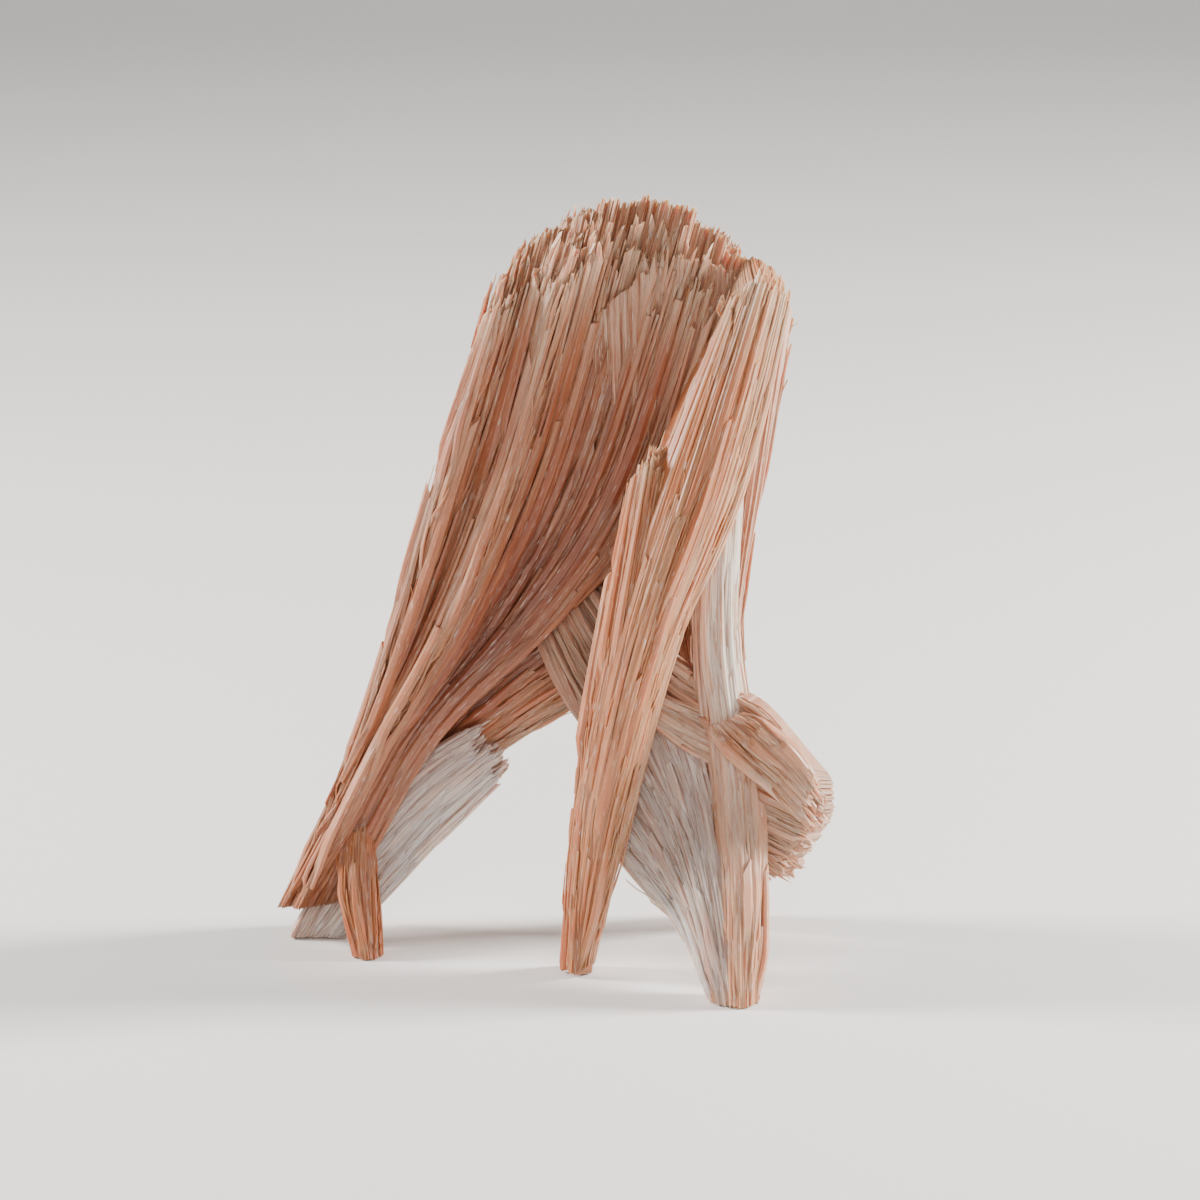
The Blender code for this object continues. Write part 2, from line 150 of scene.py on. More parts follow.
class Sheaf:
    """A fan of laths between guide lines in mm: s runs across it from 0 to 1, w from its foot to its tip.

    Thick is its depth at foot, middle and tip, and relief the height of its face across it. Ragged,
    foot_break and tip_break say how many mm are broken off, and step how far its coarse laths stand above or
    below each other.
    """

    def __init__(self, lines, thick, relief=((0, 0), (1, 0)), ragged=1.0, foot_break=0.5, tip_break=0.5,
                 face=FRONT, laths=9, step=0.2):
        self.curves = np.array([guide(line) for line in lines]) + SHIFT
        self.thick = thick
        self.relief = np.array(relief, float)
        self.ragged = ragged
        self.foot_break = foot_break
        self.tip_break = tip_break
        self.laths = laths
        self.step = step
        middle = self.curves[len(lines) // 2]
        self.length = np.linalg.norm(np.diff(middle, axis=0), axis=1).sum()
        self.width = np.linalg.norm(self.curves[-1] - self.curves[0], axis=1).mean()
        out = unit(np.cross(self.curves[-1] - self.curves[0], np.gradient(middle, axis=0)))
        self.out_curve = np.where((out[:, 1] * face > 0)[:, None], out, -out)
        self.raised = rng.random(laths) - 0.5
        self.lean = LEAST_LEAN + (1 - LEAST_LEAN) * rng.random(laths)
        self.short = rng.random(laths)
        self.jitter = rng.random((JITTERS, 4))

    def along(self, table, w):
        """The value at w of a table with one row for each place along the sheaf."""
        place = w * (PLACES - 1)
        i = np.clip(place.astype(int), 0, PLACES - 2)
        t = (place - i)[..., None]
        return table[i] * (1 - t) + table[i + 1] * t

    def middle(self, s, w):
        """Points on the sheet through the two or three guide lines."""
        rows = [self.along(curve, w) for curve in self.curves]
        s = s[..., None]
        if len(rows) == 2:
            return rows[0] * (1 - s) + rows[1] * s
        return rows[0] * (1 - s) * (1 - 2 * s) + rows[1] * 4 * s * (1 - s) + rows[2] * s * (2 * s - 1)

    def fade(self, w):
        """The relief is low at the foot and full from halfway up."""
        return np.minimum(1.0, FOOT_RELIEF + RELIEF_RISE * w)

    def depth(self, s, w):
        """The sheaf is thickest in its middle and half as thick at its edges."""
        full = np.interp(w, (0.0, 0.5, 1.0), self.thick)
        return full * (0.5 + 0.5 * np.sqrt(np.maximum(0.0, 1 - (2 * np.clip(s, 0, 1) - 1) ** 2)))

    def lath_height(self, s, w):
        """Coarse laths step up and down, and finer ones on them, each with its own swell along the fan."""
        place = np.clip(s, 0, LAST_LATH) * self.laths
        k = place.astype(int)
        high = self.step * (self.raised[k] + self.lean[k] * (0.5 - (place - k)))
        for share, amount in FINE_LATHS:
            place = np.clip(s, 0, LAST_LATH) * self.laths * share
            k = place.astype(int) % JITTERS
            swell = np.sin(2 * np.pi * (self.jitter[k, 0] + w * (0.6 + 1.6 * self.jitter[k, 1])))
            lean = 0.5 - (place - place.astype(int))
            high = high + amount * ((self.jitter[k, 2] - 0.5) + 0.5 * swell + 0.5 * lean)
        return high * self.fade(w)

    def skin(self, s, w, side=1, fine=False):
        """Points on the face (side 1) or on the back (side -1)."""
        out = self.along(self.out_curve, w)
        if side > 0:
            high = np.interp(s, self.relief[:, 0], self.relief[:, 1]) * self.fade(w)
        else:
            high = -self.depth(s, w)
        if fine:
            high = high + side * self.lath_height(s, w)
        return self.middle(s, w) + out * high[..., None]

    def directions(self, s, w, side=1):
        """Unit directions along the laths and straight out of the skin."""
        run = unit(self.skin(s, w + NEARBY, side) - self.skin(s, w - NEARBY, side))
        across = self.skin(s + NEARBY, w, side) - self.skin(s - NEARBY, w, side)
        out = unit(np.cross(across, run))
        aim = self.along(self.out_curve, w) * side
        out = np.where((np.sum(out * aim, axis=-1) > 0)[..., None], out, -out)
        return run, out

    def limits(self, s, side):
        """Where each column of a side starts and ends: broken feet, trimmed at the floor, and ragged tips."""
        place = np.clip(s, 0, LAST_LATH) * self.laths
        jitter = self.jitter[(place * JITTERS_PER_LATH).astype(int) % JITTERS, 3]
        broken = COARSE_BREAK * self.short[place.astype(int)] + (1 - COARSE_BREAK) * jitter
        if side > 0:
            tip = 1 - (self.ragged * broken + self.tip_break) / self.length
            foot = self.foot_break * (0.8 + 0.4 * jitter) / self.length
        else:
            tip = 1 - BACK_BREAK * self.ragged * broken / self.length
            foot = np.zeros_like(s)
        tries = np.linspace(0, TRIM_REACH, TRIM_STEPS)
        high = self.skin(s[:, None] + 0 * tries, tries[None, :] + 0 * s[:, None], side)[..., 2]
        above = high > FOOT_UNEVENNESS * jitter[:, None]
        first = tries[np.argmax(above, axis=1)]
        return np.maximum(foot, np.where(above[:, 0], 0.0, first)), tip


def sheaf_body(sheaf, columns, rows):
    """The closed body of a sheaf: face and back of fine columns, joined at the edges, foot and tip."""
    s = (np.arange(columns) + 0.5) / columns
    t = np.linspace(0, 1, rows)
    sides = []
    for side in (1, -1):
        foot, tip = sheaf.limits(s, side)
        w = foot[:, None] + (tip - foot)[:, None] * t[None, :]
        S = np.repeat(s[:, None], rows, axis=1)
        sides.append((sheaf.skin(S, w, side, fine=True), S, w))
    points, S, W = [np.concatenate([face, back[::-1]]) for face, back in zip(*sides)]
    size = 2 * columns
    index = np.arange(size * rows).reshape(size, rows)
    after = np.roll(index, -1, axis=0)
    quads = np.stack([index[:, :-1], after[:, :-1], after[:, 1:], index[:, 1:]], axis=-1).reshape(-1, 4)
    i = np.arange(columns - 1)
    far = size - 1 - i
    tips = np.stack([index[i, -1], index[i + 1, -1], index[far - 1, -1], index[far, -1]], axis=-1)
    feet = np.stack([index[i, 0], index[far, 0], index[far - 1, 0], index[i + 1, 0]], axis=-1)
    fibre = np.stack([S * sheaf.width, W * sheaf.length, np.zeros_like(S)], axis=-1)
    return {"points": points.reshape(-1, 3), "faces": [np.concatenate([quads, tips, feet])],
            "fibre": fibre.reshape(-1, 3), "s": S.ravel(), "w": W.ravel(),
            "tone": np.full(size * rows, 0.5), "end": np.zeros(size * rows)}


LATH_OUTLINE = np.array([(-1.0, 0.0), (-0.62, 0.5), (0.55, 0.5), (1.0, 0.1), (0.7, -0.5), (-0.7, -0.5)])
LOWEST_LATH = 0.02
END_SLANT = 0.8
SUNK = 0.15
BEND_SHARE = 0.4
HALF_LENGTH = 0.5
LEAST_LENGTH = 0.3


def blades(sheaf, count, seed, w=(0, 1), length=(3, 8), width=(0.15, 0.4), flat=0.5, proud=(0.05, 0.25),
           wander=0.02, point=0.4, rows=7, side=1, roll=0.4, deep=(0, 0), over=0.0, tone=(0, 1)):
    """Single laths that lie on a sheaf: each starts sunk in the skin and stands a little proud at its end.

    They start between the two places w, are length mm long and width mm wide, and flat is their thickness as
    a share of the width. Proud is how far their ends stand out, wander how far they drift across the sheaf,
    point how far they taper, roll how far they turn about themselves, deep how far below the skin they lie,
    over how far they pass the ragged tip, and tone how light they are.
    """
    draw = np.random.default_rng(seed)
    long_mm = draw.uniform(*length, count)
    s0 = draw.uniform(0, 1, count)
    w0 = draw.uniform(*w, count)
    foot, tip = sheaf.limits(np.clip(s0, 0, 1), side)
    below = draw.uniform(*deep, count)
    tip = tip + over * draw.uniform(-0.2, 1.0, count) / sheaf.length
    w0 = np.maximum(w0, foot)
    w1 = np.minimum(w0 + long_mm / sheaf.length, tip)
    w0 = np.minimum(w0, w1 - HALF_LENGTH * length[0] / sheaf.length)
    w0 = np.maximum(w0, foot)
    keep = w1 - w0 > LEAST_LENGTH * length[0] / sheaf.length
    s0, w0, w1, below = s0[keep], w0[keep], w1[keep], below[keep]
    count = len(s0)

    t = np.linspace(0, 1, rows)
    drift = draw.normal(0, wander, count)
    bend = draw.normal(0, wander * BEND_SHARE, count)
    S = s0[:, None] + drift[:, None] * t + bend[:, None] * np.sin(np.pi * t)
    W = w0[:, None] + (w1 - w0)[:, None] * t
    run, out = sheaf.directions(S, W, side)
    stand = draw.uniform(*proud, count)[:, None]
    emerged = smooth(0, draw.uniform(0.15, 0.9, count)[:, None], t)
    high = -SUNK + (SUNK + stand) * emerged - below[:, None]
    centre = sheaf.skin(S, W, side) + out * high[..., None]
    across = unit(np.cross(run, out))
    turn = draw.normal(0, roll, count)[:, None, None]
    across, out = across * np.cos(turn) + out * np.sin(turn), out * np.cos(turn) - across * np.sin(turn)

    wide = draw.uniform(*width, count)
    taper = 1 - draw.uniform(0.3 * point, 1.3 * point, count)[:, None] * smooth(0.35, 1.0, t)
    taper = np.clip(taper, 0.08, 1) * (0.7 + 0.3 * smooth(0, 0.15, t))
    half = 0.5 * wide[:, None] * taper
    thick = wide[:, None] * flat * draw.uniform(0.7, 1.3, count)[:, None] * np.clip(taper, 0.3, 1)
    slant = draw.normal(0, END_SLANT, count)[:, None] * wide[:, None]
    ends = np.zeros((count, rows))
    ends[:, -1] = 1
    side_share = LATH_OUTLINE[None, None, :, 0, None]
    out_share = LATH_OUTLINE[None, None, :, 1, None]
    points = (centre[:, :, None, :]
              + across[:, :, None, :] * (half[:, :, None, None] * side_share)
              + out[:, :, None, :] * (thick[:, :, None, None] * out_share)
              + run[:, :, None, :] * ((ends * slant)[:, :, None, None] * side_share))
    points[..., 2] = np.maximum(points[..., 2], LOWEST_LATH)

    corners = len(LATH_OUTLINE)
    index = np.arange(count * rows * corners).reshape(count, rows, corners)
    after = np.roll(index, -1, axis=2)
    quads = np.stack([index[:, :-1], after[:, :-1], after[:, 1:], index[:, 1:]], axis=-1).reshape(-1, 4)
    caps = np.concatenate([index[:, 0, ::-1], index[:, -1]])

    def spread(values):
        """One value for each corner from one for each row of each lath."""
        return np.repeat(np.broadcast_to(values, (count, rows))[:, :, None], corners, axis=2)

    offset = draw.uniform(0, 60, count)[:, None]
    fibre = np.stack([offset[:, :, None] + half[:, :, None] * LATH_OUTLINE[None, None, :, 0],
                      spread(offset * 3 + W * sheaf.length), spread(offset)], axis=-1)
    tones = draw.uniform(*tone, count)[:, None]
    return {"points": points.reshape(-1, 3), "faces": [quads, caps], "fibre": fibre.reshape(-1, 3),
            "s": spread(S).ravel(), "w": spread(W).ravel(), "tone": spread(tones).ravel(),
            "end": spread(smooth(0.75, 1.0, t)).ravel()}


def grown_piece(name, parts, look, material):
    """One mesh from a sheaf's body and laths. look gives pale, deep and dirty shares at every point; the pale
    share also carries painted light and the deep share painted shade.
    """
    faces = []
    start = 0
    for part in parts:
        for block in part["faces"]:
            faces += (block + start).tolist()
        start += len(part["points"])

    def joined(key):
        return np.concatenate([part[key] for part in parts])

    mesh = bpy.data.meshes.new(name)
    mesh.from_pydata((joined("points") * MM).tolist(), [], faces)
    fibre = mesh.attributes.new("fibre", "FLOAT_VECTOR", "POINT")
    fibre.data.foreach_set("vector", joined("fibre").astype(np.float32).ravel())
    tone = mesh.attributes.new("tone", "FLOAT", "POINT")
    tone.data.foreach_set("value", joined("tone").astype(np.float32))
    shares = look(joined("s"), joined("w"), joined("end"))
    shares = np.stack([np.clip(share, 0, 1) for share in shares], axis=-1)
    zone = mesh.attributes.new("zone", "FLOAT_VECTOR", "POINT")
    zone.data.foreach_set("vector", shares.astype(np.float32).ravel())
    mesh.materials.append(material)
    piece = bpy.data.objects.new(name, mesh)
    bpy.context.scene.collection.objects.link(piece)
    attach(piece, "root")
    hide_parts("crystal_cluster")


DUST = (0.16, 0.10, 0.065)
# GLINT is the colour of painted highlights: white silky streaks that stand in for the sheen on the laths.
GLINT = (0.86, 0.74, 0.66)
SHEEN_RANGE = (0.30, 0.62)
BUMP_STRENGTH = 0.6
BUMP_HEIGHT = 0.00004
SPECULAR = 0.6
SEE_IN = 0.35
SEE_IN_COLOURS = (1.0, 0.35, 0.18)
SEE_IN_DEPTH = 0.0007


def crystal(name, body, light, deep, pale, white=0.35):
    """Silky crystal: lath streaks, painted highlight streaks, pale tips, painted light, deep hollows partly
    painted shade, and brown dust at the feet.
    """
    material = bpy.data.materials.new(name)
    material.use_nodes = True
    nodes, links = material.node_tree.nodes, material.node_tree.links
    shader = nodes["Principled BSDF"]

    def node(kind, **values):
        made = nodes.new(kind)
        for key, value in values.items():
            if key in made.inputs:
                made.inputs[key].default_value = value
            else:
                setattr(made, key, value)
        return made

    def streaks(across, along, detail=3.0):
        """Noise drawn out along the laths: its grain is so many mm across and along."""
        scaled = node("ShaderNodeVectorMath", operation="MULTIPLY")
        scaled.inputs[1].default_value = (1 / across, 1 / along, 1.0)
        links.new(fibre.outputs["Vector"], scaled.inputs[0])
        noise = node("ShaderNodeTexNoise", Scale=1.0, Detail=detail, Roughness=0.6)
        links.new(scaled.outputs[0], noise.inputs["Vector"])
        return noise.outputs["Fac"]

    def ramp(value, low, high):
        made = node("ShaderNodeMapRange", interpolation_type="SMOOTHSTEP")
        made.inputs["From Min"].default_value = low
        made.inputs["From Max"].default_value = high
        links.new(value, made.inputs["Value"])
        return made.outputs["Result"]

    def times(a, b):
        made = node("ShaderNodeMath", operation="MULTIPLY", use_clamp=True)
        for socket, value in zip(made.inputs, (a, b)):
            if isinstance(value, (int, float)):
                socket.default_value = value
            else:
                links.new(value, socket)
        return made.outputs[0]

    def mix(share, a, b):
        made = node("ShaderNodeMix", data_type="RGBA")
        links.new(share, made.inputs["Factor"])
        for socket, value in ((made.inputs["A"], a), (made.inputs["B"], b)):
            if isinstance(value, tuple):
                socket.default_value = (*value, 1.0)
            else:
                links.new(value, socket)
        return made.outputs["Result"]

    fibre = node("ShaderNodeAttribute", attribute_name="fibre")
    tone = node("ShaderNodeAttribute", attribute_name="tone")
    zone = node("ShaderNodeAttribute", attribute_name="zone")
    zones = node("ShaderNodeSeparateXYZ")
    links.new(zone.outputs["Vector"], zones.inputs[0])
    pale_and_painted_light_share, deep_and_painted_shade_share, dusty_share = zones.outputs["X"], zones.outputs["Y"], zones.outputs["Z"]

    fine = streaks(0.10, 2.6)
    broad = streaks(0.55, 9.0, 2.0)
    glint = streaks(0.06, 0.9, 1.0)
    colour = mix(times(ramp(broad, 0.40, 0.66), 0.6), body, light)
    colour = mix(times(ramp(tone.outputs["Fac"], 0.5, 1.0), 0.45), colour, light)
    # Deep colour where the look asks for it: partly the crystal's own deeper colour, partly painted shade.
    colour = mix(times(deep_and_painted_shade_share, 0.92), colour, deep)
    colour = mix(times(ramp(fine, 0.50, 0.70), 0.40), colour, light)
    colour = mix(times(ramp(fine, 0.48, 0.30), 0.35), colour, deep)
    # Pale colour at the tips, and painted light where the look puts it on lit ridges and flanks.
    colour = mix(times(pale_and_painted_light_share, ramp(fine, 0.25, 0.60)), colour, pale)
    # Painted highlight: white silky glint streaks, as strong as white gives.
    colour = mix(times(ramp(glint, 0.62, 0.74), white), colour, GLINT)
    colour = mix(times(dusty_share, ramp(fine, 0.1, 0.7)), colour, DUST)
    links.new(colour, shader.inputs["Base Color"])

    rough = node("ShaderNodeMapRange")
    rough.inputs["To Min"].default_value, rough.inputs["To Max"].default_value = SHEEN_RANGE
    links.new(fine, rough.inputs["Value"])
    links.new(rough.outputs["Result"], shader.inputs["Roughness"])
    bump = node("ShaderNodeBump", Strength=BUMP_STRENGTH, Distance=BUMP_HEIGHT)
    links.new(fine, bump.inputs["Height"])
    links.new(bump.outputs["Normal"], shader.inputs["Normal"])
    shader.inputs["Specular IOR Level"].default_value = SPECULAR
    shader.inputs["Subsurface Weight"].default_value = SEE_IN
    shader.inputs["Subsurface Radius"].default_value = SEE_IN_COLOURS
    shader.inputs["Subsurface Scale"].default_value = SEE_IN_DEPTH
    return material


salmon = crystal("salmon crystal", body=(0.40, 0.120, 0.052), light=(0.58, 0.235, 0.110),
                 deep=(0.120, 0.022, 0.010), pale=(0.60, 0.36, 0.235))

main_fan = Sheaf(
    [[(-14.1, 4.2, 1.3), (-10.3, 3.4, 9.4), (-7.6, 2.6, 17.8), (-5.2, 2.0, 26.3), (-2.5, 0.9, 34.6)],
     [(-12.4, 3.2, 1.5), (-8.2, 2.8, 9.8), (-3.4, 2.6, 17.0), (0.4, 2.1, 25.2), (3.9, 0.6, 38.3)],
     [(-10.8, 4.0, 1.6), (-5.6, 3.4, 11.0), (0.9, 3.0, 17.6), (5.4, 1.8, 24.2), (9.5, 0.4, 35.4)]],
    (1.8, 2.2, 1.8),
    ((0.0, -0.2), (0.06, 0.5), (0.17, -0.5), (0.3, 1.0), (0.42, -0.2), (0.58, -0.9), (0.8, -0.3), (1.0, 0.2)),
    ragged=1.6, foot_break=0.6, tip_break=1.6, laths=22, step=0.26)


def main_fan_look(s, w, end):
    """Painted light along the ridges, pale at the tips, deep in the trough partly from painted shade, dusty
    at the foot.
    """
    # The ridge share is painted light along the ridges that the light from the left catches.
    painted_ridge_light = np.interp(s, (0, 0.04, 0.12, 0.2, 0.3, 0.38, 0.5, 0.62, 0.8, 0.93, 1),
                      (0.5, 0.4, 0.05, 0.0, 0.45, 0.05, 0, 0, 0.05, 0.1, 0.2))
    pale = smooth(0.86, 0.98, w) * 0.9 + 0.35 * end * smooth(0.3, 0.8, w) + painted_ridge_light * 0.45
    # The trough share darkens the trough, partly with painted shade and partly as the crystal's own deeper
    # colour.
    trough = np.interp(s, (0, 0.1, 0.2, 0.3, 0.4, 0.55, 0.75, 0.9, 1),
                       (0.1, 0.4, 0.6, 0, 0.6, 1.0, 0.9, 0.6, 0.4))
    deep = trough * np.interp(w, (0, 0.15, 0.35, 0.6, 0.8, 0.95), (0.15, 0.5, 0.95, 0.9, 0.6, 0.1))
    return pale, deep, smooth(0.035, 0.0, w) * 0.9


grown_piece("main_fan", [
    sheaf_body(main_fan, 230, 64),
    blades(main_fan, 110, 21, w=(0.0, 0.8), length=(9, 24), width=(0.3, 0.75), flat=0.55, proud=(0.08, 0.35),
           rows=12, wander=0.012, point=0.5, roll=0.25),
    blades(main_fan, 700, 22, w=(0.02, 0.95), length=(3, 10), width=(0.12, 0.34), proud=(0.03, 0.25),
           wander=0.015),
    blades(main_fan, 420, 23, w=(0.1, 0.95), length=(1.2, 4), width=(0.05, 0.12), flat=0.8, proud=(0.03, 0.3),
           rows=4, tone=(0.6, 1)),
    blades(main_fan, 330, 24, w=(0.86, 0.96), length=(3, 6), width=(0.15, 0.45), proud=(-0.1, 0.1),
           deep=(0, 1.5), rows=5, wander=0.004, over=1.2),
], main_fan_look, salmon)


# The back of the main fan: a second sheet of the same salmon laths, grown tight against the first. It shows
# from behind, and from the front as the higher, paler row of broken tips along the top.
def bundle(sheaf, columns, rows, seed, stout, stout_length, slivers, needles, side=1):
    """A sheaf's body and three coats of laths: stout ones, slivers and short silky needles."""
    return [
        sheaf_body(sheaf, columns, rows),
        blades(sheaf, stout, seed, w=(0.0, 0.8), length=stout_length, width=(0.25, 0.6), flat=0.55,
               proud=(0.06, 0.28), rows=10, wander=0.012, point=0.5, roll=0.25, side=side),
        blades(sheaf, slivers, seed + 1, w=(0.02, 0.95), length=(2.5, 8), width=(0.1, 0.3),
               proud=(0.03, 0.22), wander=0.015, side=side),
        blades(sheaf, needles, seed + 2, w=(0.1, 0.95), length=(1.2, 4), width=(0.05, 0.11), flat=0.8,
               proud=(0.03, 0.28), rows=4, tone=(0.6, 1), side=side),
    ]


main_fan_back = Sheaf(
    [[(-13.2, 5.6, 1.6), (-9.8, 5.2, 9.4), (-7.2, 4.6, 17.8), (-4.8, 4.0, 26.3), (-1.4, 2.6, 35.4)],
     [(-12.1, 5.2, 1.8), (-8.1, 4.9, 10.2), (-3.4, 4.4, 17.2), (0.5, 3.9, 25.6), (3.7, 2.2, 37.7)],
     [(-10.9, 5.4, 2.2), (-6.0, 5.0, 11.8), (0.7, 4.4, 18.4), (5.3, 3.4, 25.3), (9.3, 1.9, 35.6)]],
    (1.4, 2.0, 1.6), ragged=1.4, foot_break=0.4, tip_break=1.0, laths=10, step=0.26)


def main_fan_back_look(s, w, end):
    """Pale tips and three ridges of painted light, with hollows between them deepened partly by painted
    shade.
    """
    # The three pale bands are painted light on ridges; the deep bands between them are partly painted shade.
    pale = smooth(0.82, 0.97, w) + 0.3 * end + np.interp(s, (0, 0.2, 0.5, 0.8, 1), (0.3, 0.1, 0.3, 0.1, 0.3))
    deep = np.interp(s, (0, 0.15, 0.4, 0.6, 0.85, 1), (0.2, 0.6, 0.2, 0.5, 0.6, 0.3))
    return pale, deep, smooth(0.04, 0.0, w)


grown_piece("main_fan_back", bundle(main_fan_back, 200, 56, 31, 90, (6, 16), 520, 260, side=-1) + [
    blades(main_fan_back, 200, 35, w=(0.86, 0.96), length=(3, 6), width=(0.15, 0.45), proud=(-0.1, 0.1),
           deep=(0, 1.4), rows=5, wander=0.004, over=1.2),
], main_fan_back_look, salmon)


# The front sheaf: a thick tapering bundle that stands on its own foot and leans to the right across the main
# fan. It is terracotta inesite, with painted shade on its left flank, painted light that turns its right
# flank peach, and white streaks painted as silky highlights.
def broken_tips(sheaf, count, seed):
    """Laths that end at different heights and depths in the broken tip of a sheaf."""
    return blades(sheaf, count, seed, w=(0.82, 0.96), length=(2, 4.5), width=(0.14, 0.4), proud=(-0.1, 0.08),
                  deep=(0, 1.2), rows=5, wander=0.004, over=0.8)


terracotta = crystal("terracotta crystal", body=(0.46, 0.130, 0.045), light=(0.62, 0.25, 0.105),
                     deep=(0.20, 0.040, 0.014), pale=(0.66, 0.39, 0.24))

front_sheaf = Sheaf(
    [[(0.5, -0.9, -0.9), (1.6, -2.0, 9.1), (2.8, -2.4, 17.3), (5.0, -1.8, 25.1), (9.1, -0.5, 34.6)],
     [(1.1, -1.8, -0.9), (2.6, -3.6, 9.6), (4.5, -4.1, 17.8), (7.1, -3.5, 25.6), (10.3, -1.6, 35.9)],
     [(1.8, -1.1, -0.9), (4.0, -1.8, 9.1), (6.1, -1.8, 17.1), (9.3, -1.0, 25.0), (11.6, -0.1, 34.6)]],
    (1.5, 3.0, 3.2), ((0.0, 0.0), (0.5, 0.1), (1.0, 0.0)), ragged=0.8, foot_break=1.4, tip_break=0.8, laths=9)


def front_sheaf_look(s, w, end):
    """Pale at the tips, with painted light on the right flank and painted shade on the left."""
    # The pale share on the right flank is painted light.
    pale = smooth(0.88, 0.99, w) * 0.8 + 0.3 * end + smooth(0.6, 0.95, s) * 0.55
    # The across share is painted shade, strongest on the left flank.
    across = np.interp(s, (0, 0.2, 0.35, 0.5, 0.7, 1), (0.35, 0.3, 0.1, 0.25, 0.1, 0.0))
    return pale, across * np.interp(w, (0, 0.3, 0.7, 1), (0.6, 0.8, 1, 0.4)), smooth(0.05, 0.0, w)


grown_piece("front_sheaf", bundle(front_sheaf, 150, 70, 41, 70, (8, 20), 480, 320)
            + [broken_tips(front_sheaf, 140, 44)], front_sheaf_look, terracotta)


# The short sheaf of terracotta laths along the left side of the front one. It has grown from the same foot,
# and breaks off lower down in a ragged step.
front_sheaf_left = Sheaf(
    [[(0.3, -0.9, -0.9), (1.2, -1.9, 9.1), (2.3, -2.3, 16.8), (4.3, -1.4, 27.2)],
     [(0.7, -1.8, -0.9), (1.7, -3.0, 9.4), (3.1, -3.5, 17.1), (5.0, -2.6, 27.9)],
     [(1.2, -1.9, -0.9), (2.3, -3.2, 9.5), (3.9, -3.5, 17.1), (5.7, -2.4, 27.7)]],
    (1.2, 2.0, 2.4), ragged=1.4, foot_break=1.2, tip_break=1.2, laths=5, step=0.16)


def front_sheaf_left_look(s, w, end):
    """Evenly a little deep, with pale broken ends."""
    return smooth(0.9, 1.0, w) * 0.7 + 0.3 * end, 0.25 + 0 * s, smooth(0.05, 0.0, w)


grown_piece("front_sheaf_left", bundle(front_sheaf_left, 70, 60, 51, 30, (8, 18), 200, 150)
            + [broken_tips(front_sheaf_left, 70, 54)], front_sheaf_left_look, terracotta)


# The right column: a nearly upright sheaf that stands on the right foot and has grown into the front sheaf
# above. It is bright peach inesite, and its upper face is painted almost white as painted light.
peach = crystal("peach crystal", body=(0.56, 0.200, 0.090), light=(0.68, 0.32, 0.17),
                deep=(0.28, 0.075, 0.035), pale=(0.82, 0.63, 0.52), white=0.5)

right_column = Sheaf(
    [[(8.1, -6.4, -0.9), (8.0, -4.4, 4.8), (7.5, -1.8, 10.1), (7.0, 0.0, 16.6), (7.2, 0.6, 24.9)],
     [(9.2, -7.2, -0.9), (9.2, -5.4, 5.1), (8.9, -2.8, 10.4), (8.1, -0.9, 16.9), (8.3, 0.0, 25.6)],
     [(10.1, -6.1, -0.9), (10.3, -4.0, 5.7), (10.0, -1.8, 10.6), (9.0, 0.0, 16.6), (9.2, 0.8, 25.6)]],
    (1.8, 2.6, 2.4), ragged=1.0, foot_break=0.9, laths=7, step=0.18)


def right_column_look(s, w, end):
    """Painted light makes it almost white above, and painted shade a little deeper down the left side."""
    # This upper share is painted light that turns the upper face almost white.
    painted_upper_light = np.interp(w, (0, 0.3, 0.5, 0.65, 0.8), (0.1, 0.25, 0.4, 1.0, 1.0))
    pale = painted_upper_light * (0.6 + 0.4 * smooth(0.1, 0.5, s)) + 0.3 * end
    # The deep share down the left side is painted shade.
    return pale, 0.2 * smooth(0.4, 0.0, s), smooth(0.035, 0.0, w)


grown_piece("right_column", bundle(right_column, 110, 70, 61, 60, (5, 14), 330, 220)
            + [broken_tips(right_column, 60, 64)], right_column_look, peach)


# The fan of blades left of the right column: white and mauve laths of inesite that radiate up and back from
# the right foot, where they have grown together with the column.
mauve = crystal("mauve crystal", body=(0.40, 0.175, 0.115), light=(0.58, 0.33, 0.24),
                deep=(0.16, 0.050, 0.030), pale=(0.78, 0.65, 0.58), white=0.6)

right_fan = Sheaf(
    [[(7.9, -6.1, -0.9), (6.5, -3.9, 2.8), (4.6, -1.6, 4.4), (2.4, 0.8, 6.2)],
     [(8.3, -6.8, -0.9), (7.2, -4.7, 4.4), (5.7, -2.2, 8.2), (3.6, 0.2, 11.8)],
     [(9.0, -6.9, -0.9), (8.3, -4.9, 5.2), (7.5, -2.6, 9.8), (6.4, -0.4, 14.3)]],
    (1.6, 1.6, 1.2), ragged=1.0, foot_break=0.9, tip_break=0.4, laths=9)


def right_fan_look(s, w, end):
    """White on the left, mauve and deeper towards the right and up the fan."""
    pale = np.interp(s, (0, 0.15, 0.3, 0.6, 1), (1.0, 0.9, 0.4, 0.5, 0.4)) + 0.3 * end
    deep = np.interp(s, (0, 0.2, 0.35, 0.6, 1), (0.0, 0.1, 0.6, 0.5, 0.4)) * smooth(0.1, 0.5, w)
    return pale, deep, smooth(0.05, 0.0, w)


grown_piece("right_fan", bundle(right_fan, 110, 44, 71, 70, (4, 10), 360, 260)
            + [broken_tips(right_fan, 40, 74)], right_fan_look, mauve)


# The crossing sheaf: pale beige inesite. It comes out from under the main fan, passes behind the front sheaf
# and through the right column, with which it has grown together, and ends in a broad broken tip on the right.
beige = crystal("beige crystal", body=(0.46, 0.195, 0.110), light=(0.60, 0.32, 0.20),
                deep=(0.20, 0.065, 0.035), pale=(0.66, 0.44, 0.32), white=0.4)

